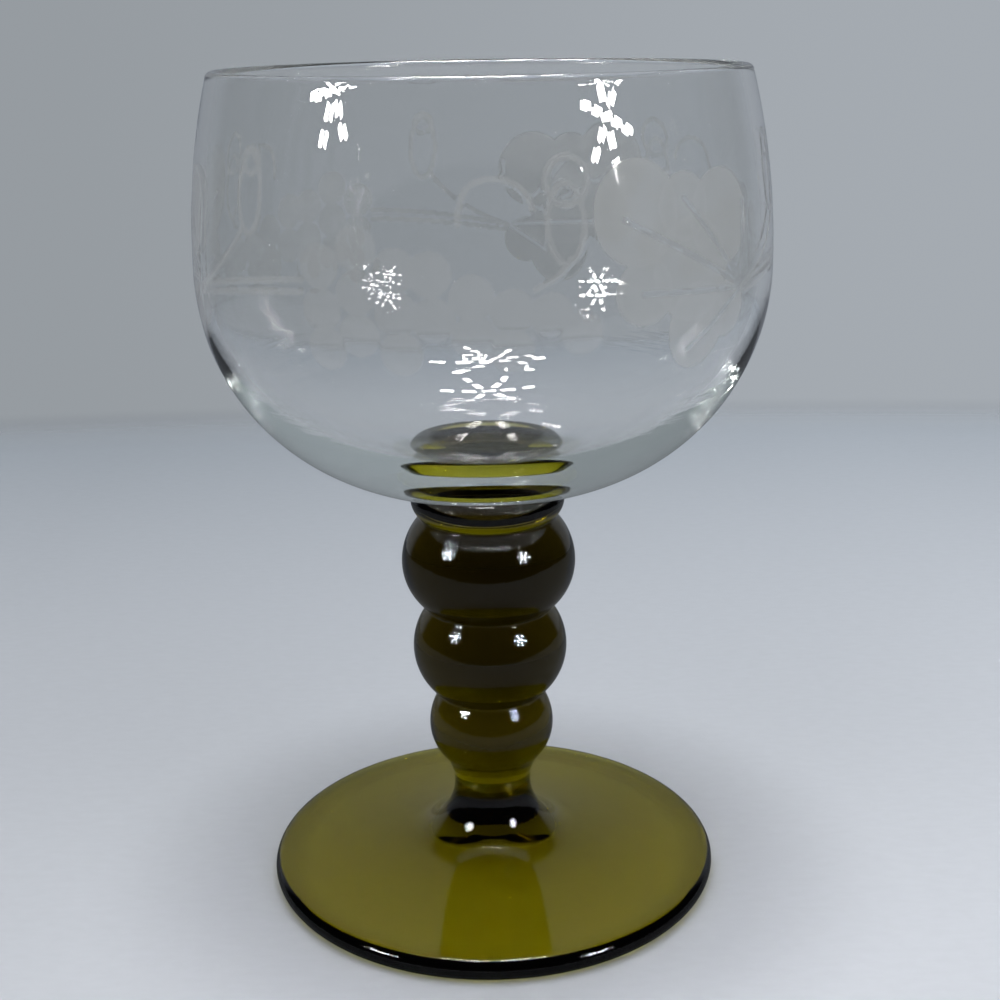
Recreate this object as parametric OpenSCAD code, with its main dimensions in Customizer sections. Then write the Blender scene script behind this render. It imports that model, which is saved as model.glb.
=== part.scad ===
// Roemer wine glass: a clear blown bowl on an olive-green stem with a collar,
// three graded knops and a round foot. The pieces are fused hot, so each one
// meets the next on a flat round seam. Everything turns about the glass's own
// axis and stands on z = 0. Sizes are in millimetres.

/* [Bowl] */
// Widest outside diameter of the bowl
bowl_d = 84.5; // [76:0.5:110]
// Depth of the rounded bottom below the widest ring
bowl_depth = 35; // [28:0.1:40]
// How far the bottom arc dips below the side arcs, outside
bottom_dip = 1.4; // [1:0.1:5]
// Height of the lip above the widest ring
rim_h = 28; // [12:0.5:45]
// How far the wall draws in from the widest ring to the lip
rim_draw_in = 3.6; // [1:0.1:8]
// Wall thickness, which also rounds the lip
wall_t = 1.8; // [1:0.1:3]
// Glass between the seat and the inside floor
floor_t = 5.6; // [2:0.1:8]
// How far the floor arc dips below the side arcs, inside
floor_dip = 0.6; // [0.5:0.1:4]

/* [Collar] */
// Diameter of the fused seat between the bowl and the collar
seat_d = 18.5; // [14:0.5:20]
// Widest diameter of the collar
collar_d = 23.9; // [21:0.1:27]
// Height of the collar above its widest ring, which also rounds its upper edge
collar_above = 2; // [1:0.1:3]
// Height of the collar below its widest ring
collar_below = 2.8; // [1.5:0.1:4]
// Depth of the crease between the collar and the upper knop
collar_crease = 1.5; // [0.5:0.05:1.8]

/* [Knops] */
// Diameter of the upper knop
upper_knop_d = 27.2; // [25:0.1:34]
// Height of the upper knop above its widest ring
upper_knop_above = 7.4; // [5:0.1:10]
// Height of the upper knop below its widest ring
upper_knop_below = 7.6; // [5:0.1:10]
// Depth of the crease between the upper and the middle knop
upper_crease = 2.5; // [1:0.1:3.5]
// Diameter of the middle knop
middle_knop_d = 24.4; // [21:0.1:27]
// Height of the middle knop above its widest ring
middle_knop_above = 6.7; // [4:0.1:10]
// Height of the middle knop below its widest ring
middle_knop_below = 8; // [6:0.1:11]
// Depth of the crease between the middle and the lower knop
lower_crease = 1.8; // [0.8:0.1:3]
// Diameter of the lower knop
lower_knop_d = 19.9; // [16:0.1:24]
// Height of the lower knop above its widest ring
lower_knop_above = 5.4; // [3:0.1:8]
// Height of the lower knop's taper, from its widest ring to the neck
lower_knop_below = 10.4; // [7:0.1:15]

/* [Foot] */
// Diameter of the foot
foot_d = 72; // [56:0.5:90]
// Thickness of the foot at its rounded edge
foot_t = 3.4; // [2.4:0.1:5]
// Diameter of the neck, the thinnest place of the stem
neck_d = 12.4; // [9:0.1:15]
// Radius of the flare from the neck into the foot
flare_r = 9.5; // [5:0.1:13]
// Radius of the slow rise of the foot's top towards the flare
rise_r = 110; // [70:1:300]
// Width of the flat ring that the foot rests on
rest_w = 1.5; // [1:0.1:6]
// Step from the resting ring up to the hollow
rest_h = 0.2; // [0.1:0.1:0.5]
// Depth of the hollow under the foot
hollow_h = 4.4; // [1:0.1:5]
// Diameter of the hollow's flat middle
hollow_d = 5; // [2:0.5:10]

/* [Hidden] */
$fn = 180;

clear_glass = [0.82, 0.88, 0.88, 0.4];
olive_glass = [0.36, 0.34, 0.08];
// How far a cutting shape runs past the shape that it trims
past = 1;

// Radii of the foot and the neck, and where the foot's edge starts to round
foot_r = foot_d / 2;
neck_r = neck_d / 2;
edge_x = foot_r - foot_t / 2;

// The flare touches the neck at neck_z and the foot's rising top at flare_x
flare_cx = neck_r + flare_r;
rise_cz = foot_t + rise_r;
neck_z = rise_cz - sqrt(pow(rise_r - flare_r, 2) - pow(edge_x - flare_cx, 2));
flare_x = edge_x - (edge_x - flare_cx) * rise_r / (rise_r - flare_r);

// Inside the resting ring the hollow starts flat and rises along an arc
hollow_x = edge_x - rest_w;
hollow_w = hollow_x - hollow_d / 2;
hollow_rise = hollow_h - rest_h;
hollow_r = (pow(hollow_w, 2) + pow(hollow_rise, 2)) / (2 * hollow_rise);

// Radii of the stem's widest rings, and of the seams between them
lower_knop_r = lower_knop_d / 2;
middle_knop_r = middle_knop_d / 2;
upper_knop_r = upper_knop_d / 2;
seat_r = seat_d / 2;
collar_r = collar_d / 2;
collar_top_r = max(seat_r, collar_r - collar_above);
lower_seam_r = min(lower_knop_r, middle_knop_r) - lower_crease;
upper_seam_r = min(middle_knop_r, upper_knop_r) - upper_crease;
collar_seam_r = min(upper_knop_r, collar_r) - collar_crease;

// Heights of the widest rings, stacked from the neck upwards
lower_knop_z = neck_z + lower_knop_below;
middle_knop_z = lower_knop_z + lower_knop_above + middle_knop_below;
upper_knop_z = middle_knop_z + middle_knop_above + upper_knop_below;
collar_z = upper_knop_z + upper_knop_above + collar_below;
seat_z = collar_z + collar_above;

// The bowl's bottom is flattened where it sits on the collar
bowl_r = bowl_d / 2;
seat_sink = oval_base_r(bowl_r, bowl_depth, bottom_dip)
    - sqrt(pow(oval_base_r(bowl_r, bowl_depth, bottom_dip), 2) - pow(seat_r, 2));
belly_h = bowl_depth - seat_sink;
belly_z = seat_z + belly_h;

// Above the widest ring the wall follows one arc, up to the centre of the lip
lip_r = wall_t / 2;
lip_h = rim_h - lip_r;
rim_arc_r = (pow(lip_h, 2) + pow(rim_draw_in, 2)) / (2 * rim_draw_in);
rim_arc_x = bowl_r - lip_r - rim_arc_r;
rim_angle = asin(lip_h / rim_arc_r);

// Radius of the bottom arc of a three-centred oval with these half axes
function oval_base_r(half_w, half_h, dip) = half_w + pow(half_w - half_h, 2) / (2 * dip);

// Lower right quarter of a three-centred oval, hung from its widest ring at y = 0:
// a side arc that turns smoothly into a flatter bottom arc. The two sectors part along
// the line through both centres, which runs on to a point just outside the arcs
module oval_quarter(half_w, half_h, dip) {
    side_r = half_h - dip;
    side_x = half_w - side_r;
    base_r = oval_base_r(half_w, half_h, dip);
    base_y = base_r - half_h;
    reach = (base_r + past) / (base_r - side_r);
    outside = [side_x * reach, base_y * (1 - reach)];
    intersection() {
        translate([0, base_y]) circle(base_r);
        polygon([[0, 0], [side_x, 0], outside, [0, outside[1] - half_h]]);
    }
    intersection() {
        translate([side_x, 0]) circle(side_r);
        polygon([[side_x, 0], [half_w + past, 0], [half_w + past, outside[1]], outside]);
    }
}

// Wall of the bowl above its widest ring, ending in a rounded lip
module rim_wall() {
    wedge = rim_arc_r + wall_t;
    translate([rim_arc_x, 0]) {
        intersection() {
            difference() {
                circle(rim_arc_r + lip_r);
                circle(rim_arc_r - lip_r);
            }
            polygon([[0, 0], [wedge, 0], [wedge, wedge * tan(rim_angle)]]);
        }
        rotate(rim_angle) translate([rim_arc_r, 0]) intersection() {
            circle(lip_r);
            translate([-wall_t, 0]) square([2 * wall_t, wall_t]);
        }
    }
}

// Half of a knop's section above its widest ring: one arc from the ring in to the seam
module half_knop(ring_r, seam_r, h) {
    draw_in = ring_r - seam_r;
    arc_r = (pow(h, 2) + pow(draw_in, 2)) / (2 * draw_in);
    arc_x = ring_r - arc_r;
    intersection() {
        translate([arc_x, 0]) circle(arc_r);
        square([ring_r + past, h]);
    }
    square([max(arc_x, seam_r / 2), h]);
}

// Section of the taper below a knop's widest ring: it swells out, then in to the neck
module taper(ring_r, end_r, h) {
    draw_in = ring_r - end_r;
    arc_r = (pow(h, 2) + pow(draw_in, 2)) / (4 * draw_in);
    arc_x = ring_r - arc_r;
    translate([0, -h / 2]) {
        intersection() {
            translate([arc_x, h / 2]) circle(arc_r);
            square([ring_r + past, h / 2]);
        }
        square([max(arc_x, end_r / 2), h / 2]);
    }
    difference() {
        translate([0, -h]) square([ring_r, h / 2]);
        translate([end_r + arc_r, -h]) circle(arc_r);
    }
}

// A round bead between two seams, with its widest ring at z = 0
module bead(ring_r, top_r, top_h, bottom_r, bottom_h) {
    rotate_extrude() {
        half_knop(ring_r, top_r, top_h);
        mirror([0, 1]) half_knop(ring_r, bottom_r, bottom_h);
    }
}

module bowl() {
    color(clear_glass) translate([0, 0, belly_z]) rotate_extrude() {
        difference() {
            intersection() {
                oval_quarter(bowl_r, bowl_depth, bottom_dip);
                translate([0, -belly_h]) square([bowl_r + past, belly_h]);
            }
            oval_quarter(bowl_r - wall_t, belly_h - floor_t, floor_dip);
        }
        rim_wall();
    }
}

module collar() {
    color(olive_glass) translate([0, 0, collar_z])
        bead(collar_r, collar_top_r, collar_above, collar_seam_r, collar_below);
}

module upper_knop() {
    color(olive_glass) translate([0, 0, upper_knop_z])
        bead(upper_knop_r, collar_seam_r, upper_knop_above, upper_seam_r, upper_knop_below);
}

module middle_knop() {
    color(olive_glass) translate([0, 0, middle_knop_z])
        bead(middle_knop_r, upper_seam_r, middle_knop_above, lower_seam_r, middle_knop_below);
}

module lower_knop() {
    color(olive_glass) translate([0, 0, lower_knop_z]) rotate_extrude() {
        half_knop(lower_knop_r, lower_seam_r, lower_knop_above);
        taper(lower_knop_r, neck_r, lower_knop_below);
    }
}

module foot() {
    color(olive_glass) rotate_extrude() {
        difference() {
            square([edge_x, neck_z]);
            intersection() {
                translate([edge_x, rise_cz]) circle(rise_r);
                translate([flare_x, 0]) square([edge_x - flare_x + past, neck_z + past]);
            }
            intersection() {
                translate([flare_cx, neck_z]) circle(flare_r);
                square([flare_x, neck_z + past]);
            }
            difference() {
                square([hollow_x, hollow_h]);
                translate([hollow_x, rest_h + hollow_r]) circle(hollow_r);
            }
        }
        intersection() {
            translate([edge_x, foot_t / 2]) circle(foot_t / 2);
            translate([edge_x, 0]) square(foot_t);
        }
    }
}

bowl();
collar();
upper_knop();
middle_knop();
lower_knop();
foot();
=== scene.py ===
import math

import bmesh
import bpy
import numpy as np
from mathutils import Matrix, Vector


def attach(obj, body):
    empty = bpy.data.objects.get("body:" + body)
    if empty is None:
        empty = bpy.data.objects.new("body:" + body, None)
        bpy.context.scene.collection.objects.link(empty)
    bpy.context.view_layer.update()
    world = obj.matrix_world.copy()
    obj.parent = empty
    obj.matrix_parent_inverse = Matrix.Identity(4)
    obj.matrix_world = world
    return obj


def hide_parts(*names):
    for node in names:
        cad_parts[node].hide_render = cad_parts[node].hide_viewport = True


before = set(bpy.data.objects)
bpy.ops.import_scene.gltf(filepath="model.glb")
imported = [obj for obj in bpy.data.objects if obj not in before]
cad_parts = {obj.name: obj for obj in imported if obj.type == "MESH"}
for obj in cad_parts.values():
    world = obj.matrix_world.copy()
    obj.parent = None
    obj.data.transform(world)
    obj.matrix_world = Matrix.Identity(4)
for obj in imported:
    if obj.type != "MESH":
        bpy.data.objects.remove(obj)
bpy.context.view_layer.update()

# Sizes of the glass in millimetres, the same as in the part's source
BOWL_D = 84.5
BOWL_DEPTH = 35.0
BOTTOM_DIP = 1.4
RIM_H = 28.0
RIM_DRAW_IN = 3.6
WALL_T = 1.8
FLOOR_T = 5.6
FLOOR_DIP = 0.6
SEAT_D = 18.5
COLLAR_D = 23.9
COLLAR_ABOVE = 2.0
COLLAR_BELOW = 2.8
COLLAR_CREASE = 1.5
UPPER_KNOP_D = 27.2
UPPER_KNOP_ABOVE = 7.4
UPPER_KNOP_BELOW = 7.6
UPPER_CREASE = 2.5
MIDDLE_KNOP_D = 24.4
MIDDLE_KNOP_ABOVE = 6.7
MIDDLE_KNOP_BELOW = 8.0
LOWER_CREASE = 1.8
LOWER_KNOP_D = 19.9
LOWER_KNOP_ABOVE = 5.4
LOWER_KNOP_BELOW = 10.4
FOOT_D = 72.0
FOOT_T = 3.4
NECK_D = 12.4
FLARE_R = 9.5
RISE_R = 110.0
REST_W = 1.5
REST_H = 0.2
HOLLOW_H = 4.4
HOLLOW_D = 5.0

MM = 0.001
# Two runs of a section that turn less than this many degrees already meet smoothly
SMOOTH_TURN = 6.0
# Length of the rounding where two beads meet, in mm, the most of a run that it takes, and its steps
CREASE_BLEND = 0.35
BLEND_SHARE = 0.4
BLEND_STEPS = 6
# Length over which the hollow under the foot eases into the resting ring, in mm
RING_EASE = 2.0
# How far the stem's top reaches into the bowl, so that no air lies in the fused seat, in mm
FUSE = 0.06
# Ring round the fused seat where the two skins still show: width and gap inside it, in mm, and its steps
SEAT_RING = 0.4
SEAT_GAP = 0.04
RING_STEPS = 4
# How deep the clear seat dips into the collar, in mm, how flat its bottom is, and the rings of its mesh
SEAT_DIP = 4.4
SEAT_CURVE = 6
SEAT_STEPS = 24
# Spacing of the lathe rows in mm, steps round the lip, and turns of the lathe
STEM_STEP = 0.3
EDGE_STEP = STEM_STEP / 2
COLLAR_STEP = STEM_STEP / 3
BOWL_STEP = 0.7
BAND_STEP = 0.26
LIP_STEPS = 6
STEM_TURNS = 288
BOWL_TURNS = 960

# Heights between which the bowl is engraved, in mm
BAND_LOW = 87.0
BAND_HIGH = 120.0
# How often the vine repeats round the bowl, and where its first node stands, in degrees right of the front
VINE_REPEATS = 3
VINE_NODE_AZ = -66.0
# The engraved vine, in mm: u runs round the bowl from the vine's node and v is the height
VINE_PERIOD = math.pi * BOWL_D / VINE_REPEATS
NODE_V = 99.5
GRAPE_R = 2.9
GRAPES = [
    (27.3, 104.8), (27.5, 99.4), (28.0, 94.4), (32.5, 107.2), (32.6, 101.8), (32.7, 96.4),
    (37.6, 104.6), (37.8, 99.2), (38.2, 94.2), (42.0, 104.2), (42.4, 98.6), (47.2, 101.4),
    (47.4, 96.4), (52.2, 99.6), (52.0, 94.8), (57.0, 99.0), (61.0, 96.5),
]
# Each lobe of the leaf: its middle, half width and half height
LEAF_LOBES = [
    (68.9, 110.6, 6.6, 6.9), (76.4, 110.9, 4.5, 4.5), (83.5, 109.0, 6.5, 6.5), (77.7, 103.0, 7.0, 7.0),
    (79.0, 95.6, 5.5, 6.0), (69.8, 100.8, 4.5, 4.5), (85.0, 97.0, 4.0, 4.0),
]
LEAF_BASE = (88.3, NODE_V)
VEIN_TIPS = [(66.8, 109.9), (76.4, 112.0), (89.0, 110.5), (69.5, 100.6), (77.5, 92.5)]
# Depths of the cuts and half widths of lines and veins, in mm
GRAPE_DEPTH = 0.08
LOBE_DEPTH = 0.09
LINE_W = 0.42
LINE_DEPTH = 0.04
VEIN_W = 0.4
VEIN_DEPTH = 0.03
# Frosting of each kind of cut, from 0 to 1, and the share of it that a vein takes away
GRAPE_FROST = 0.5
LOBE_FROST = 0.75
LINE_FROST = 0.6
VEIN_CLEAR = 0.7
# The frosting comes over the first depths of a cut, and this share of it is lost over the next ones
FROST_START = (0.0, 0.1)
EDGE_FADE = 0.05
EDGE_FADE_SPAN = (0.05, 0.6)

GLASS_IOR = 1.52
# Share of light that the skin of each glass lets through, and the colour and density of its body
CLEAR_SKIN = (0.9, 0.905, 0.905)
CLEAR_TINT = (0.55, 0.72, 0.66)
CLEAR_DENSITY = 4.0
OLIVE_SKIN = (1.0, 0.97, 0.9)
OLIVE_TINT = (0.787, 0.764, 0.03)
OLIVE_DENSITY = 765.0
# Share of light that a fully frosted cut scatters back, and the skin that the frosting gives it
SATIN = 0.46
SATIN_SKIN = (0.66, 0.67, 0.655)
# Smears: the noise between which they come, the scale of each glass's noise, and the roughness they reach
SMEAR_SPAN = (0.5, 0.75)
CLEAR_SMEAR_SCALE = 90
CLEAR_SMEAR = 0.006
OLIVE_SMEAR_SCALE = 110
OLIVE_SMEAR = 0.004
# Upright streaks of the grinding: noise scale, stretch in height, roughness, and depth of the furrows in m
STREAK_SCALE = 1500
STREAK_STRETCH = 0.12
STREAK_SPAN = (0.3, 0.7)
STREAK_ROUGH = (0.03, 0.09)
FURROW_DEPTH = 0.00002
FURROW_STRENGTH = 0.6
# Slow waves in the clear glass: noise scale and depth in m
CLEAR_WAVE_SCALE = 45
CLEAR_WAVE_DEPTH = 0.00002
# Cords, the level streaks low in the bowl's sides: from how far out, up to what height, and how deep, in m
CORD_SIDE = (0.018, 0.028)
CORD_END = (0.074, 0.09)
CORD_DEPTH = 0.00012
CORD_SCALE = 45
CORD_SQUEEZE = 10
# Tool rings and slow waves in the olive glass: noise scale, squeeze in height, and depth in m
TOOL_RING_SCALE = 60
TOOL_RING_SQUEEZE = 9
OLIVE_WAVE_SCALE = 90
OLIVE_WAVE_DEPTH = 0.00003

# The table in metres: a disc, stretched sideways, that melts into the backdrop at its edge
TABLE_R = 0.34
TABLE_BROAD = 2.4
TABLE_Z = -0.00005
TABLE_SEGMENTS = 128
TABLE_FADE = (0.262, 0.322)
# Painted light on the table: its tones near and far and where they lie, and how much paler the painted light
# makes it on the right than in the middle
TABLE_NEAR_PAINTED_LIGHT = (0.65, 0.68, 0.735)
TABLE_FAR_PAINTED_LIGHT = (0.36, 0.4, 0.45)
PAINTED_LIGHT_REACH = (-0.045, 0.265)
TABLE_SIDE = 0.12
PAINTED_SIDE_LIGHT = 0.1
# Fibres of its paper: noise scale, and the tones between which they vary
FIBRE_SCALE = 700
FIBRE_SPAN = (0.3, 0.7)
FIBRE_TONE = (0.985, 1.015)
# Soft shade on the table round the foot: its strength, and the radii between which it comes and goes
SHADE = 0.27
SHADE_INNER = (0.029, 0.035)
SHADE_OUTER = (0.034, 0.068)
# Painted shade in mirror images: share of the table's tone that is left where the glass mirrors it
MIRROR_PAINTED_SHADE = 0.27

# The backdrop, from left to right over these X parts of the direction
BACKDROP_LEFT = (0.305, 0.33, 0.355)
BACKDROP_RIGHT = (0.375, 0.405, 0.44)
BACKDROP_SPAN = (-0.3, 0.3)
# Mirror images turn from the dark room to a dimmer backdrop between these Y parts of the direction
ROOM_TONE = (0.012, 0.012, 0.013)
MIRROR_TONE = (0.22, 0.24, 0.275)
ROOM_EDGE = (0.5, 0.68)
# Sky light, with soft patches that cast the soft shadows: the way to each, and how many times it adds the sky
SKY_LIGHT = (0.42, 0.42, 0.42)
GLOWS = [((-0.53, -0.41, 0.74), 2.2), ((0.53, -0.41, 0.74), 2.6), ((0.0, 0.2, 0.98), 4.6)]
GLOW_EDGE = (0.86, 0.97)

# Star lamps: arms of small bright chips round a middle chip, as shares of the star's radius
STAR_ARMS = 6
CHIP_REACH = (0.42, 0.9)
CHIP_LONG = 0.3
CHIP_WIDE = 0.15
CHIP_GLOW = 110.0
STAR_AIM = Vector((0, 0, 0.085))
# Each star's name, place and radius in metres, and twist in degrees
STARS = [
    ("star_left", (-0.478, -0.270, 0.338), 0.095, 15),
    ("star_right", (0.433, -0.361, 0.304), 0.095, 40),
    ("star_top", (-0.003, 0.048, 0.285), 0.047, 0),
]

# The camera, in metres and degrees: where it stands, how far it looks down, and its small roll and turn
CAMERA_PLACE = (0.0, -0.22644, 0.13383)
LOOK_DOWN = 17.52
ROLL = -0.9
TURN = 0.49
LENS = 55.08
SENSOR = 36.0

# How far light is followed: in all, through glass, and mirrored inside it, past which it is lost in the wall
MAX_BOUNCES = 128
GLASS_BOUNCES = 64
MIRROR_BOUNCES = 28
# The most that one path of bounced light may add to a pixel
BOUNCE_CLAMP = 60


def oval_base_r(half_w, half_h, dip):
    """Radius of the bottom arc of a three-centred oval."""
    return half_w + (half_w - half_h) ** 2 / (2 * dip)


# Radii and heights, stacked from the foot upwards as in the part's source
foot_r = FOOT_D / 2
neck_r = NECK_D / 2
edge_x = foot_r - FOOT_T / 2
flare_cx = neck_r + FLARE_R
rise_cz = FOOT_T + RISE_R
neck_z = rise_cz - math.sqrt((RISE_R - FLARE_R) ** 2 - (edge_x - flare_cx) ** 2)
hollow_x = edge_x - REST_W
hollow_w = hollow_x - HOLLOW_D / 2
hollow_rise = HOLLOW_H - REST_H
hollow_r = (hollow_w ** 2 + hollow_rise ** 2) / (2 * hollow_rise)

lower_knop_r = LOWER_KNOP_D / 2
middle_knop_r = MIDDLE_KNOP_D / 2
upper_knop_r = UPPER_KNOP_D / 2
collar_r = COLLAR_D / 2
lower_seam_r = min(lower_knop_r, middle_knop_r) - LOWER_CREASE
upper_seam_r = min(middle_knop_r, upper_knop_r) - UPPER_CREASE
collar_seam_r = min(upper_knop_r, collar_r) - COLLAR_CREASE
seat_r = SEAT_D / 2
seat_ring_r = seat_r - SEAT_RING
seat_dip_r = seat_ring_r - SEAT_GAP

lower_knop_z = neck_z + LOWER_KNOP_BELOW
middle_knop_z = lower_knop_z + LOWER_KNOP_ABOVE + MIDDLE_KNOP_BELOW
upper_knop_z = middle_knop_z + MIDDLE_KNOP_ABOVE + UPPER_KNOP_BELOW
collar_z = upper_knop_z + UPPER_KNOP_ABOVE + COLLAR_BELOW
seat_z = collar_z + COLLAR_ABOVE

bowl_r = BOWL_D / 2
bottom_r = oval_base_r(bowl_r, BOWL_DEPTH, BOTTOM_DIP)
belly_h = BOWL_DEPTH - (bottom_r - math.sqrt(bottom_r ** 2 - seat_r ** 2))
belly_z = seat_z + belly_h


def arc(cx, cz, radius, start, end, step):
    """Points along an arc of the section, angles in degrees, about one step apart."""
    count = max(3, math.ceil(abs(math.radians(end - start)) * radius / step))
    angles = np.radians(np.linspace(start, end, count + 1))
    return np.c_[cx + radius * np.cos(angles), cz + radius * np.sin(angles)]


def line(start, end, step):
    """Points along a straight run of the section, about one step apart."""
    count = max(1, math.ceil(math.dist(start, end) / step))
    return np.linspace(start, end, count + 1)


def curved(t, start, pull, end):
    """Points at t on a curve that leaves start towards pull and arrives at end."""
    return (1 - t) ** 2 * start + 2 * t * (1 - t) * pull + t ** 2 * end


def joined(runs):
    """Strings runs of points together, with each sharp corner rounded over the blend length."""
    points = runs[0]
    for last, run in zip(runs[:-1], runs[1:]):
        corner = run[0]
        into = points[-1] - points[-2]
        out = run[1] - run[0]
        turn = np.dot(into, out) / (np.linalg.norm(into) * np.linalg.norm(out))
        if turn > math.cos(math.radians(SMOOTH_TURN)):
            points = np.vstack([points, run[1:]])
            continue
        shorter = min(math.dist(last[0], last[-1]), math.dist(run[0], run[-1]))
        size = min(CREASE_BLEND, BLEND_SHARE * shorter)
        before = points[np.linalg.norm(points - corner, axis=1) > size]
        after = run[np.linalg.norm(run - corner, axis=1) > size]
        t = np.linspace(0, 1, BLEND_STEPS + 1)[1:-1, None]
        points = np.vstack([before, curved(t, before[-1], corner, after[0]), after])
    return points


def half_knop(ring_r, seam_r, ring_z, height, step=STEM_STEP):
    """Section of half a knop, from its widest ring to the seam; height is negative below the ring."""
    draw_in = ring_r - seam_r
    radius = (height ** 2 + draw_in ** 2) / (2 * draw_in)
    reach = math.degrees(math.asin(height / radius))
    return arc(ring_r - radius, ring_z, radius, 0, reach, step)


def seat_dip():
    """Section of the fused seat from the axis outwards: the clear glass dips a little into the collar."""
    radii = np.linspace(0, seat_dip_r, SEAT_STEPS)
    return np.c_[radii, seat_z - SEAT_DIP * (1 - (radii / radii[-1]) ** SEAT_CURVE)]


def foot_runs():
    """Runs of the foot's section, from the axis underneath round the edge to the neck."""
    middle = line((0, HOLLOW_H), (HOLLOW_D / 2, HOLLOW_H), STEM_STEP)
    under_turn = math.degrees(math.asin(hollow_w / hollow_r))
    ring_turn = math.degrees(math.asin(RING_EASE / hollow_r))
    under = arc(hollow_x, REST_H + hollow_r, hollow_r, 270 - under_turn, 270 - ring_turn, STEM_STEP)
    rest = line((hollow_x, 0), (edge_x, 0), STEM_STEP)
    edge = arc(edge_x, FOOT_T / 2, FOOT_T / 2, -90, 90, EDGE_STEP)
    touch = math.degrees(math.asin((edge_x - flare_cx) / (RISE_R - FLARE_R)))
    rise = arc(edge_x, rise_cz, RISE_R, 270, 270 - touch, STEM_STEP)
    flare = arc(flare_cx, neck_z, FLARE_R, 270 - touch, 180, STEM_STEP)
    return [middle, under, rest, edge, rise, flare]


def knop_runs():
    """Runs of the knops' section, from the neck up to the crease under the collar."""
    draw_in = lower_knop_r - neck_r
    taper_r = (LOWER_KNOP_BELOW ** 2 + draw_in ** 2) / (4 * draw_in)
    swing = math.degrees(math.asin(LOWER_KNOP_BELOW / 2 / taper_r))
    return [
        arc(neck_r + taper_r, neck_z, taper_r, 180, 180 - swing, STEM_STEP),
        arc(lower_knop_r - taper_r, lower_knop_z, taper_r, -swing, 0, STEM_STEP),
        half_knop(lower_knop_r, lower_seam_r, lower_knop_z, LOWER_KNOP_ABOVE),
        half_knop(middle_knop_r, lower_seam_r, middle_knop_z, -MIDDLE_KNOP_BELOW)[::-1],
        half_knop(middle_knop_r, upper_seam_r, middle_knop_z, MIDDLE_KNOP_ABOVE),
        half_knop(upper_knop_r, upper_seam_r, upper_knop_z, -UPPER_KNOP_BELOW)[::-1],
        half_knop(upper_knop_r, collar_seam_r, upper_knop_z, UPPER_KNOP_ABOVE),
    ]


def collar_runs():
    """Runs of the collar's section, from the crease under it up to the edge of the seat."""
    top_r = collar_r - COLLAR_ABOVE
    return [
        half_knop(collar_r, collar_seam_r, collar_z, -COLLAR_BELOW, COLLAR_STEP)[::-1],
        arc(top_r, collar_z, COLLAR_ABOVE, 0, 90, COLLAR_STEP),
        line((top_r, seat_z), (seat_r, seat_z), STEM_STEP),
    ]


def stem_section():
    """Section of the olive glass, from the axis under the foot up to the axis at the seat."""
    section = joined(foot_runs() + knop_runs() + collar_runs())
    top = [[seat_r, seat_z + FUSE], [seat_ring_r, seat_z + FUSE]]
    section = np.vstack([section[:-1], top, seat_dip()[::-1] + (0, FUSE)])
    section[0, 0] = 0
    return section


def outside_runs():
    """Runs of the bowl's section, from the axis under its seat up to its widest ring."""
    side_r = BOWL_DEPTH - BOTTOM_DIP
    side_x = bowl_r - side_r
    base_z = belly_z + bottom_r - BOWL_DEPTH
    seat_turn = math.degrees(math.asin(seat_r / bottom_r))
    base_turn = math.degrees(math.asin(side_x / (bottom_r - side_r)))
    band_turn = -math.degrees(math.asin((belly_z - BAND_LOW) / side_r))
    ring = line((seat_ring_r, seat_z), (seat_r, seat_z), SEAT_RING / RING_STEPS)
    return [
        np.vstack([seat_dip(), ring]),
        arc(0, base_z, bottom_r, 270 + seat_turn, 270 + base_turn, BOWL_STEP),
        arc(side_x, belly_z, side_r, base_turn - 90, band_turn, BOWL_STEP),
        arc(side_x, belly_z, side_r, band_turn, 0, BAND_STEP),
    ]


def rim_runs():
    """Runs of the bowl's section above its widest ring: up the outside, round the lip, down the inside."""
    lip_r = WALL_T / 2
    lip_h = RIM_H - lip_r
    rim_r = (lip_h ** 2 + RIM_DRAW_IN ** 2) / (2 * RIM_DRAW_IN)
    rim_x = bowl_r - lip_r - rim_r
    rim_turn = math.degrees(math.asin(lip_h / rim_r))
    band_end = math.degrees(math.asin((BAND_HIGH - belly_z) / (rim_r + lip_r)))
    lip_x = rim_x + rim_r * math.cos(math.radians(rim_turn))
    lip_z = belly_z + rim_r * math.sin(math.radians(rim_turn))
    return [
        arc(rim_x, belly_z, rim_r + lip_r, 0, band_end, BAND_STEP),
        arc(rim_x, belly_z, rim_r + lip_r, band_end, rim_turn, BOWL_STEP),
        arc(lip_x, lip_z, lip_r, rim_turn, rim_turn + 180, lip_r / LIP_STEPS),
        arc(rim_x, belly_z, rim_r - lip_r, rim_turn, 0, BOWL_STEP),
    ]


def inside_runs():
    """Runs of the bowl's section, from its widest ring down the inside to the axis on the floor."""
    half_w = bowl_r - WALL_T
    half_h = belly_h - FLOOR_T
    side_r = half_h - FLOOR_DIP
    side_x = half_w - side_r
    base_r = oval_base_r(half_w, half_h, FLOOR_DIP)
    turn = math.degrees(math.asin(side_x / (base_r - side_r)))
    return [
        arc(side_x, belly_z, side_r, 0, turn - 90, BOWL_STEP),
        arc(0, belly_z + base_r - half_h, base_r, 270 + turn, 270, BOWL_STEP),
    ]


def bowl_section():
    """Section of the bowl from the axis under its seat, round the lip, to the axis inside."""
    section = joined(outside_runs() + rim_runs() + inside_runs())
    section[-1, 0] = 0
    return section


def normals_of(section):
    """Unit normals of a section that runs counter-clockwise, pointing out of the glass."""
    along = np.gradient(section, axis=0)
    along /= np.linalg.norm(along, axis=1)[:, None]
    return np.c_[along[:, 1], -along[:, 0]]


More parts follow.
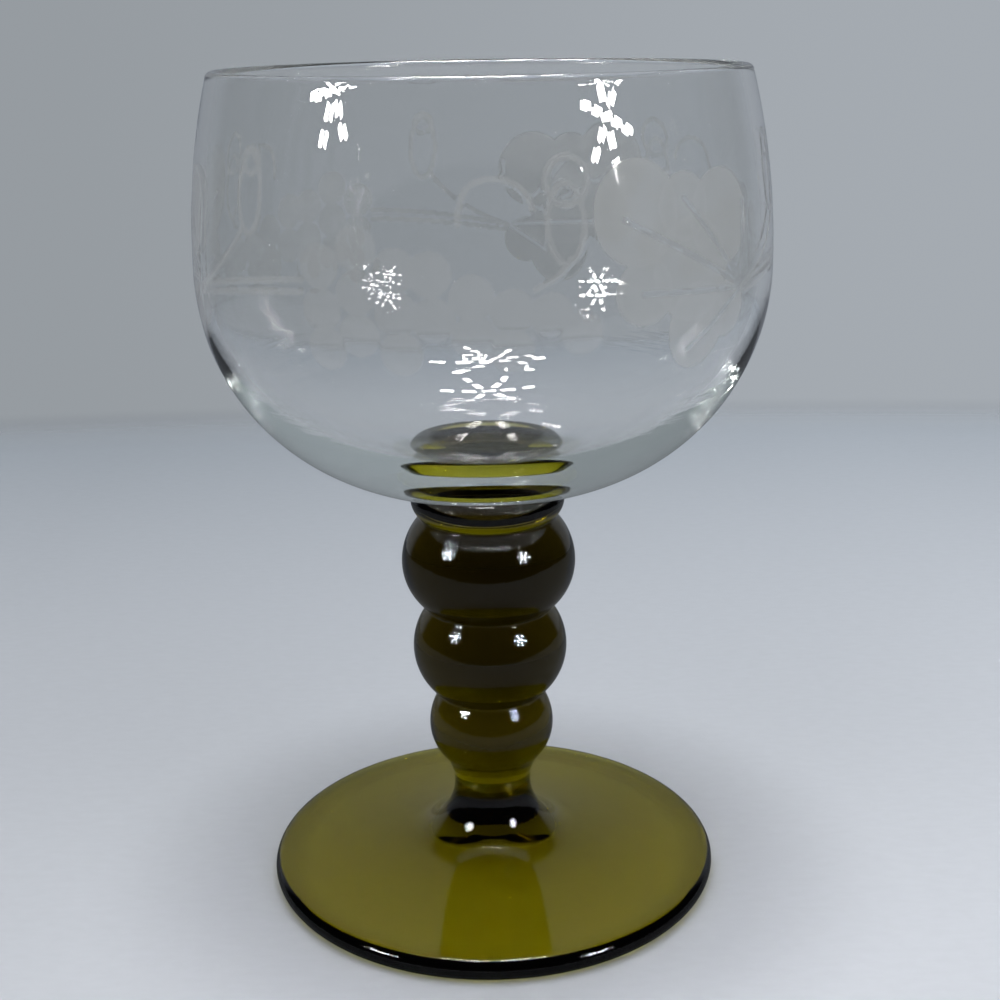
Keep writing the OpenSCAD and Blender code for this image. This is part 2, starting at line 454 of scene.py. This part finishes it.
def lathe_faces(rows, turns):
    """Faces of a lathe mesh whose two end points, on the axis, come after the rings between them."""
    row = np.arange(rows - 3)[:, None] * turns
    col = np.arange(turns)[None, :]
    beside = (col + 1) % turns
    quads = np.stack([row + col, row + beside, row + turns + beside, row + turns + col], axis=-1)
    faces = quads.reshape(-1, 4).tolist()
    first = (rows - 2) * turns
    last = first + 1
    top_row = (rows - 3) * turns
    for i in range(turns):
        j = (i + 1) % turns
        faces.append([first, j, i])
        faces.append([top_row + i, top_row + j, last])
    return faces


def turned(name, radii, heights, layers):
    """A closed mesh turned about Z from rows by turns of radii and heights in mm, with both ends on the axis.

    Each named layer holds a value for every point.
    """
    rows, turns = radii.shape
    angle = np.linspace(0, 2 * math.pi, turns, endpoint=False)
    x = radii[1:-1] * np.sin(angle)
    y = -radii[1:-1] * np.cos(angle)
    rings = np.stack([x, y, heights[1:-1]], axis=-1).reshape(-1, 3)
    ends = [[0, 0, heights[0, 0]], [0, 0, heights[-1, 0]]]
    points = np.vstack([rings, ends]) * MM
    mesh = bpy.data.meshes.new(name)
    mesh.from_pydata(points.tolist(), [], lathe_faces(rows, turns))
    for key, grid in layers.items():
        layer = mesh.attributes.new(key, "FLOAT", "POINT")
        values = np.concatenate([grid[1:-1].reshape(-1), grid[0, :1], grid[-1, :1]])
        layer.data.foreach_set("value", values.astype(np.float32))
    mesh.polygons.foreach_set("use_smooth", [True] * len(mesh.polygons))
    shape = bmesh.new()
    shape.from_mesh(mesh)
    bmesh.ops.recalc_face_normals(shape, faces=shape.faces)
    shape.to_mesh(mesh)
    shape.free()
    piece = bpy.data.objects.new(name, mesh)
    bpy.context.scene.collection.objects.link(piece)
    return piece


def fused_seat(section, turns):
    """1 on the points of the fused seat, where the two glasses run into each other."""
    level = np.abs(section[:, 1] - seat_z) < SEAT_DIP + 2 * FUSE
    inner = section[:, 0] < seat_ring_r - SEAT_GAP / 2
    return np.repeat((level & inner).astype(float)[:, None], turns, axis=1)


def ramp(low, high, value):
    """Smooth step from 0 at low to 1 at high."""
    t = np.clip((value - low) / (high - low), 0, 1)
    return t * t * (3 - 2 * t)


def stroke_gap(u, v, path):
    """Distance from each point to a path of straight runs."""
    best = np.full(u.shape, np.inf)
    for (u0, v0), (u1, v1) in zip(path[:-1], path[1:]):
        du = u1 - u0
        dv = v1 - v0
        t = np.clip(((u - u0) * du + (v - v0) * dv) / (du * du + dv * dv), 0, 1)
        best = np.minimum(best, np.hypot(u - u0 - t * du, v - v0 - t * dv))
    return best


def bend(start, pull, end, count=14):
    """A stroke that leaves start towards pull and arrives at end."""
    t = np.linspace(0, 1, count)[:, None]
    return curved(t, np.array(start), np.array(pull), np.array(end))


def loop(centre_u, centre_v, half_u, half_v, start=0.0, sweep=360.0, count=40):
    """A stroke along an oval, from the start angle over the sweep."""
    t = np.radians(np.linspace(start, start + sweep, count))
    return np.c_[centre_u + half_u * np.cos(t), centre_v + half_v * np.sin(t)]


def vine_lines():
    """Stalks and tendrils of one repeat of the vine."""
    node = (0.0, NODE_V)
    upper_stalk = bend(node, (12.0, 102.0), (24.5, 102.9))
    lower_stalk = bend((0.0, NODE_V - 0.9), (13.0, 100.6), (24.5, 101.4))
    near_rise = bend(node, (9.0, 102.5), (13.6, 108.6))
    near_loop = loop(15.0, 113.0, 2.2, 5.0, -120, 350)
    near_top = loop(15.0, 117.0, 1.6, 1.6, -90, 330)
    far_top = loop(59.2, 115.0, 2.7, 2.9, -100, 350)
    far_loop = loop(59.0, 110.0, 2.35, 4.8, -95, 355)
    far_stem = bend((59.4, 105.6), (58.6, 103.6), (55.0, 102.2))
    curl_top = (50.0, 115.4)
    curl_rise = bend((54.8, 112.0), (53.6, 115.4), curl_top)
    curl_fall = bend(curl_top, (45.6, 115.6), (45.6, 110.2))
    curl = np.vstack([curl_rise, curl_fall[1:]])
    return [upper_stalk, lower_stalk, near_rise, near_loop, near_top, far_top, far_loop, far_stem, curl]


def round_from(u, middle):
    """Distance round the bowl from a middle, over the nearest repeat of the vine."""
    return (u - middle + VINE_PERIOD / 2) % VINE_PERIOD - VINE_PERIOD / 2


def engraving(u, v):
    """Depth in mm and frosting from 0 to 1 of the engraved vine at each point."""
    depth = np.zeros(u.shape)
    frost = np.zeros(u.shape)

    def cut(away, deepest, matte):
        """Grinds a dish whose edge is 1 away from its middle, where it lies below the cuts before."""
        dish = np.clip(1 - away ** 2, 0, 1)
        np.maximum(depth, deepest * dish, out=depth)
        fade = 1 - EDGE_FADE * ramp(*EDGE_FADE_SPAN, dish)
        np.maximum(frost, matte * fade * ramp(*FROST_START, dish), out=frost)

    for lobe_u, lobe_v, half_u, half_v in LEAF_LOBES:
        away = np.hypot(round_from(u, lobe_u) / half_u, (v - lobe_v) / half_v)
        cut(away, LOBE_DEPTH, LOBE_FROST)
    veins = np.zeros(u.shape)
    for tip in VEIN_TIPS:
        middle = (tip[0] + LEAF_BASE[0]) / 2
        gap = stroke_gap(round_from(u, middle) + middle, v, [tip, LEAF_BASE])
        np.maximum(veins, np.clip(1 - (gap / VEIN_W) ** 2, 0, 1), out=veins)
    depth += VEIN_DEPTH * veins
    frost *= 1 - VEIN_CLEAR * veins
    for grape_u, grape_v in GRAPES:
        cut(np.hypot(round_from(u, grape_u), v - grape_v) / GRAPE_R, GRAPE_DEPTH, GRAPE_FROST)
    for path in vine_lines():
        middle = path[:, 0].mean()
        gap = stroke_gap(round_from(u, middle) + middle, v, path)
        cut(gap / LINE_W, LINE_DEPTH, LINE_FROST)
    return depth, frost


def make_bowl():
    """The clear bowl, with the vine cut into its outside as real shallow recesses."""
    section = bowl_section()
    outward = normals_of(section)
    radii = np.repeat(section[:, :1], BOWL_TURNS, axis=1)
    heights = np.repeat(section[:, 1:], BOWL_TURNS, axis=1)
    frost = np.zeros(radii.shape)
    lip = int(np.argmax(section[:, 1]))
    band = [i for i in range(lip) if BAND_LOW <= section[i, 1] <= BAND_HIGH]
    sector = BOWL_TURNS // VINE_REPEATS
    turn = 2 * math.pi / BOWL_TURNS
    u = np.arange(sector)[None, :] * turn * bowl_r + np.zeros((len(band), 1))
    v = section[band, 1][:, None] + np.zeros((1, sector))
    depth, matte = engraving(u, v)
    node_column = round(math.radians(VINE_NODE_AZ) / turn)
    depth = np.roll(np.tile(depth, VINE_REPEATS), node_column, axis=1)
    matte = np.roll(np.tile(matte, VINE_REPEATS), node_column, axis=1)
    radii[band] -= depth * outward[band, :1]
    heights[band] -= depth * outward[band, 1:]
    frost[band] = matte
    fused = fused_seat(section, BOWL_TURNS)
    return turned("bowl_glass", radii, heights, {"frost": frost, "fused": fused})


def make_stem():
    """The olive collar, knops and foot, fused into one body of glass."""
    section = stem_section()
    radii = np.repeat(section[:, :1], STEM_TURNS, axis=1)
    heights = np.repeat(section[:, 1:], STEM_TURNS, axis=1)
    fused = fused_seat(section, STEM_TURNS)
    return turned("olive_stem", radii, heights, {"fused": fused})


class Nodes:
    """Short calls for building a node tree. A value is another node's output or plain numbers."""

    def __init__(self, tree):
        self.tree = tree
        tree.nodes.clear()

    def add(self, kind, **settings):
        """A new node with these settings."""
        node = self.tree.nodes.new(kind)
        for key, value in settings.items():
            setattr(node, key, value)
        return node

    def link(self, source, target):
        """Links an output to a socket."""
        self.tree.links.new(source, target)

    def put(self, value, socket):
        """Links an output to a socket, or sets plain numbers on it."""
        if isinstance(value, bpy.types.NodeSocket):
            self.link(value, socket)
        else:
            socket.default_value = value

    def place(self):
        """Where a point lies on its object."""
        return self.add("ShaderNodeTexCoord").outputs["Object"]

    def attribute(self, name):
        """The value of a mesh layer."""
        return self.add("ShaderNodeAttribute", attribute_name=name).outputs["Fac"]

    def math(self, operation, first, second=None):
        """A sum of one or two values."""
        node = self.add("ShaderNodeMath", operation=operation)
        self.put(first, node.inputs[0])
        if second is not None:
            self.put(second, node.inputs[1])
        return node.outputs[0]

    def product(self, first, *others):
        """All the values multiplied."""
        for other in others:
            first = self.math("MULTIPLY", first, other)
        return first

    def parts(self, vector):
        """The X, Y and Z of a vector, by name."""
        node = self.add("ShaderNodeSeparateXYZ")
        self.link(vector, node.inputs["Vector"])
        return node.outputs

    def length(self, vector):
        """How long a vector is."""
        node = self.add("ShaderNodeVectorMath", operation="LENGTH")
        self.link(vector, node.inputs[0])
        return node.outputs["Value"]

    def scaled(self, vector, factor):
        """A vector or colour times a factor."""
        node = self.add("ShaderNodeVectorMath", operation="SCALE")
        self.put(vector, node.inputs[0])
        self.put(factor, node.inputs["Scale"])
        return node.outputs["Vector"]

    def squeezed(self, coords, factor):
        """Coordinates whose height is multiplied, so that a pattern on them is squeezed or stretched."""
        node = self.add("ShaderNodeMapping")
        node.inputs["Scale"].default_value = (1, 1, factor)
        self.link(coords, node.inputs["Vector"])
        return node.outputs["Vector"]

    def noise(self, coords, scale, detail):
        """Cloudy noise from 0 to 1."""
        node = self.add("ShaderNodeTexNoise")
        node.inputs["Scale"].default_value = scale
        node.inputs["Detail"].default_value = detail
        node.inputs["Roughness"].default_value = 0.5
        self.link(coords, node.inputs["Vector"])
        return node.outputs["Fac"]

    def spread(self, value, span, onto, kind="LINEAR"):
        """A value mapped from one span onto another, and held at the ends."""
        node = self.add("ShaderNodeMapRange", interpolation_type=kind)
        self.link(value, node.inputs["Value"])
        for name, number in zip(("From Min", "From Max", "To Min", "To Max"), (*span, *onto)):
            node.inputs[name].default_value = number
        return node.outputs["Result"]

    def fade(self, value, span, onto=(0, 1)):
        """A value mapped like spread, with a smooth start and end."""
        return self.spread(value, span, onto, "SMOOTHSTEP")

    def blend(self, share, first, second):
        """The first colour where the share is 0, and the second where it is 1."""
        node = self.add("ShaderNodeMix", data_type="RGBA")
        self.link(share, node.inputs["Factor"])
        for colour, socket in zip((first, second), node.inputs[6:8]):
            self.put((*colour, 1) if isinstance(colour, tuple) else colour, socket)
        return node.outputs[2]

    def bump(self, height, distance, strength=1.0, normal=None):
        """A surface raised by a height map, on top of another bump where one is given."""
        node = self.add("ShaderNodeBump")
        node.inputs["Strength"].default_value = strength
        node.inputs["Distance"].default_value = distance
        self.link(height, node.inputs["Height"])
        if normal is not None:
            self.link(normal, node.inputs["Normal"])
        return node.outputs["Normal"]


def new_material(name):
    """A new material with an empty node tree."""
    material = bpy.data.materials.new(name)
    material.use_nodes = True
    return material, Nodes(material.node_tree)


def glass_shader(nodes, skin, tint, density, roughness, normal):
    """Solid glass: a clear refracting surface round a body that absorbs light."""
    shader = nodes.add("ShaderNodeBsdfPrincipled")
    shader.inputs["Base Color"].default_value = (*skin, 1)
    shader.inputs["IOR"].default_value = GLASS_IOR
    shader.inputs["Transmission Weight"].default_value = 1.0
    nodes.link(roughness, shader.inputs["Roughness"])
    nodes.link(normal, shader.inputs["Normal"])
    nodes.link(nodes.math("SUBTRACT", 1.0, nodes.attribute("fused")), shader.inputs["Alpha"])
    body = nodes.add("ShaderNodeVolumeAbsorption")
    body.inputs["Color"].default_value = (*tint, 1)
    body.inputs["Density"].default_value = density
    output = nodes.add("ShaderNodeOutputMaterial")
    nodes.link(shader.outputs["BSDF"], output.inputs["Surface"])
    nodes.link(body.outputs["Volume"], output.inputs["Volume"])
    return shader


def cord_height(nodes, place):
    """Height map of the cords, low in the bowl's sides."""
    spot = nodes.parts(place)
    side = nodes.fade(nodes.math("ABSOLUTE", spot["X"]), CORD_SIDE)
    low = nodes.fade(spot["Z"], CORD_END, (1, 0))
    return nodes.product(nodes.noise(nodes.squeezed(place, CORD_SQUEEZE), CORD_SCALE, 3), side, low)


def clear_glass():
    """Blown clear glass: faint waves and smears, cords in the sides, and satin cuts with upright streaks."""
    material, nodes = new_material("clear_glass")
    place = nodes.place()
    frost = nodes.attribute("frost")
    smear = nodes.spread(nodes.noise(place, CLEAR_SMEAR_SCALE, 3), SMEAR_SPAN, (0, CLEAR_SMEAR))
    streaks = nodes.noise(nodes.squeezed(place, STREAK_STRETCH), STREAK_SCALE, 2)
    ground = nodes.product(frost, frost, nodes.spread(streaks, STREAK_SPAN, STREAK_ROUGH))
    roughness = nodes.math("MAXIMUM", smear, ground)
    waves = nodes.bump(nodes.noise(place, CLEAR_WAVE_SCALE, 1), CLEAR_WAVE_DEPTH)
    cords = nodes.bump(cord_height(nodes, place), CORD_DEPTH, 1.0, waves)
    furrows = nodes.bump(nodes.product(frost, streaks), FURROW_DEPTH, FURROW_STRENGTH, cords)
    shader = glass_shader(nodes, CLEAR_SKIN, CLEAR_TINT, CLEAR_DENSITY, roughness, furrows)
    nodes.link(nodes.spread(frost, (0, 1), (1, 1 - SATIN)), shader.inputs["Transmission Weight"])
    nodes.link(nodes.blend(frost, CLEAR_SKIN, SATIN_SKIN), shader.inputs["Base Color"])
    return material


def olive_glass():
    """Olive forest glass: tool rings and slow waves in the surface, with faint smears."""
    material, nodes = new_material("olive_glass")
    place = nodes.place()
    smear = nodes.spread(nodes.noise(place, OLIVE_SMEAR_SCALE, 3), SMEAR_SPAN, (0, OLIVE_SMEAR))
    level = nodes.squeezed(place, TOOL_RING_SQUEEZE)
    rings = nodes.bump(nodes.noise(level, TOOL_RING_SCALE, 2), OLIVE_WAVE_DEPTH)
    waves = nodes.bump(nodes.noise(place, OLIVE_WAVE_SCALE, 1), OLIVE_WAVE_DEPTH, 1.0, rings)
    glass_shader(nodes, OLIVE_SKIN, OLIVE_TINT, OLIVE_DENSITY, smear, waves)
    return material


def skin_mirrored(nodes):
    """1 for what is mirrored in the outer skin of the glass, and 0 for all else."""
    path = nodes.add("ShaderNodeLightPath")
    mirrored = nodes.math("GREATER_THAN", path.outputs["Glossy Depth"], 0.5)
    outside = nodes.math("LESS_THAN", path.outputs["Transmission Depth"], 1.5)
    return nodes.product(mirrored, outside)


def foot_shade(nodes, spot):
    """Share of the table's tone that is left in the soft shade round the foot."""
    level = nodes.add("ShaderNodeCombineXYZ")
    nodes.link(nodes.product(spot["X"], TABLE_BROAD), level.inputs["X"])
    nodes.link(spot["Y"], level.inputs["Y"])
    radius = nodes.length(level.outputs["Vector"])
    outer = nodes.fade(radius, SHADE_OUTER, (SHADE, 0))
    inner = nodes.fade(radius, SHADE_INNER)
    return nodes.math("SUBTRACT", 1.0, nodes.product(outer, inner))


def table_tone_and_painted_light(nodes, place):
    """Colour of the table: painted light makes it paler in front and to the right, with fibres and the
    painted shade round the foot.
    """
    spot = nodes.parts(place)
    # Painted light: the table is paler in front and darker far back, and paler to the right
    painted_falloff = nodes.blend(nodes.spread(spot["Y"], PAINTED_LIGHT_REACH, (0, 1)), TABLE_NEAR_PAINTED_LIGHT, TABLE_FAR_PAINTED_LIGHT)
    side = TABLE_SIDE / TABLE_BROAD
    painted_side = nodes.spread(spot["X"], (-side, side), (1 - PAINTED_SIDE_LIGHT, 1 + PAINTED_SIDE_LIGHT))
    fibre = nodes.spread(nodes.noise(place, FIBRE_SCALE, 3), FIBRE_SPAN, FIBRE_TONE)
    return nodes.scaled(painted_falloff, nodes.product(fibre, painted_side, foot_shade(nodes, spot)))


def table_paper():
    """Pale matt paper with painted light, that fades out at its edge and is dimmer in mirror images, a
    painted shade.
    """
    material, nodes = new_material("table_paper")
    place = nodes.place()
    # Painted shade: the table is dimmer only where the glass mirrors it
    mirror_painted_shade = nodes.spread(skin_mirrored(nodes), (0, 1), (1, MIRROR_PAINTED_SHADE))
    paper = nodes.add("ShaderNodeBsdfDiffuse")
    nodes.link(nodes.scaled(table_tone_and_painted_light(nodes, place), mirror_painted_shade), paper.inputs["Color"])
    gone = nodes.add("ShaderNodeBsdfTransparent")
    mix = nodes.add("ShaderNodeMixShader")
    nodes.link(nodes.fade(nodes.length(place), TABLE_FADE), mix.inputs["Fac"])
    nodes.link(paper.outputs["BSDF"], mix.inputs[1])
    nodes.link(gone.outputs["BSDF"], mix.inputs[2])
    output = nodes.add("ShaderNodeOutputMaterial")
    nodes.link(mix.outputs["Shader"], output.inputs["Surface"])
    return material


def make_table():
    """A broad pale table top whose far edge melts into the backdrop."""
    mesh = bpy.data.meshes.new("table")
    shape = bmesh.new()
    bmesh.ops.create_circle(shape, cap_ends=True, segments=TABLE_SEGMENTS, radius=TABLE_R)
    shape.to_mesh(mesh)
    shape.free()
    table = bpy.data.objects.new("table", mesh)
    table.location.z = TABLE_Z
    table.scale.x = TABLE_BROAD
    bpy.context.scene.collection.objects.link(table)
    mesh.materials.append(table_paper())


def sky_tone(nodes, heading):
    """Plain sky with soft brighter patches."""
    glow = 1.0
    for aim, level in GLOWS:
        near = nodes.add("ShaderNodeVectorMath", operation="DOT_PRODUCT")
        nodes.link(heading, near.inputs[0])
        near.inputs[1].default_value = Vector(aim).normalized()
        glow = nodes.math("ADD", nodes.fade(near.outputs["Value"], GLOW_EDGE, (0, level)), glow)
    return nodes.scaled(SKY_LIGHT, glow)


def make_world():
    """A pale backdrop, seen straight or through glass, a darker room in mirror images, and soft sky light."""
    world = bpy.data.worlds.new("studio")
    world.use_nodes = True
    bpy.context.scene.world = world
    nodes = Nodes(world.node_tree)
    heading = nodes.add("ShaderNodeTexCoord").outputs["Generated"]
    way = nodes.parts(heading)
    room = nodes.blend(nodes.fade(way["Y"], ROOM_EDGE), ROOM_TONE, MIRROR_TONE)
    wall = nodes.blend(nodes.fade(way["X"], BACKDROP_SPAN), BACKDROP_LEFT, BACKDROP_RIGHT)
    seen = nodes.blend(skin_mirrored(nodes), wall, room)
    depth = nodes.add("ShaderNodeLightPath").outputs["Diffuse Depth"]
    scattered = nodes.math("GREATER_THAN", depth, 0.5)
    backdrop = nodes.add("ShaderNodeBackground")
    nodes.link(nodes.blend(scattered, seen, sky_tone(nodes, heading)), backdrop.inputs["Color"])
    output = nodes.add("ShaderNodeOutputWorld")
    nodes.link(backdrop.outputs["Background"], output.inputs["Surface"])


def chip_lamp(name, place, turn, radius):
    """One chip of a star of this radius: a small bright lamp that is seen only in the glass."""
    width = CHIP_LONG * radius
    height = CHIP_WIDE * radius
    lamp = bpy.data.lights.new(name, "AREA")
    lamp.shape = "RECTANGLE"
    lamp.size = width
    lamp.size_y = height
    lamp.energy = CHIP_GLOW * math.pi * width * height
    chip = bpy.data.objects.new(name, lamp)
    chip.location = place
    chip.rotation_euler = turn.to_euler()
    chip.visible_camera = False
    chip.visible_diffuse = False
    bpy.context.scene.collection.objects.link(chip)


def star_lamp(name, place, radius, twist):
    """A star of chips that faces the glass, with its arms turned by the twist."""
    place = Vector(place)
    away = (place - STAR_AIM).normalized()
    side = Vector((0, 0, 1)).cross(away)
    side.normalize()
    rise = away.cross(side)
    chips = [(0.0, 0.0)]
    for arm in range(STAR_ARMS):
        angle = math.radians(twist + 360 / STAR_ARMS * arm)
        chips += [(reach, angle) for reach in CHIP_REACH]
    for number, (reach, angle) in enumerate(chips):
        along = math.cos(angle) * side + math.sin(angle) * rise
        turn = Matrix((along, away.cross(along), away)).transposed()
        chip_lamp(f"{name}_{number}", place + reach * radius * along, turn, radius)


def make_lights():
    """The star lamps, which give the glass its highlights. The world gives all other light."""
    for star in STARS:
        star_lamp(*star)


def make_camera():
    """The photo's viewpoint. The roll stands in for the small lean of the photographed glass."""
    down, roll, turn = (math.radians(angle) for angle in (LOOK_DOWN, ROLL, TURN))
    ahead = Vector((math.sin(turn) * math.cos(down), math.cos(turn) * math.cos(down), -math.sin(down)))
    level = Vector((math.cos(turn), -math.sin(turn), 0))
    upward = level.cross(ahead)
    right = math.cos(roll) * level + math.sin(roll) * upward
    above = math.cos(roll) * upward - math.sin(roll) * level
    camera = bpy.data.objects.new("camera", bpy.data.cameras.new("camera"))
    camera.data.lens = LENS
    camera.data.sensor_width = SENSOR
    facing = Matrix((right, above, -ahead)).transposed().to_4x4()
    camera.matrix_world = Matrix.Translation(CAMERA_PLACE) @ facing
    bpy.context.scene.collection.objects.link(camera)
    bpy.context.scene.camera = camera


def make_glass():
    """The two bodies of glass, in place of the nodes that they stand for."""
    bowl = make_bowl()
    bowl.data.materials.append(clear_glass())
    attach(bowl, "root")
    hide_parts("bowl")
    stem = make_stem()
    stem.data.materials.append(olive_glass())
    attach(stem, "root")
    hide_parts("collar", "upper_knop", "middle_knop", "lower_knop", "foot")


def set_render():
    """The view transform, and how far light is followed."""
    scene = bpy.context.scene
    scene.view_settings.view_transform = "Standard"
    scene.cycles.max_bounces = MAX_BOUNCES
    scene.cycles.transmission_bounces = GLASS_BOUNCES
    scene.cycles.glossy_bounces = MIRROR_BOUNCES
    scene.cycles.sample_clamp_indirect = BOUNCE_CLAMP


make_camera()
make_world()
make_table()
make_lights()
make_glass()
set_render()
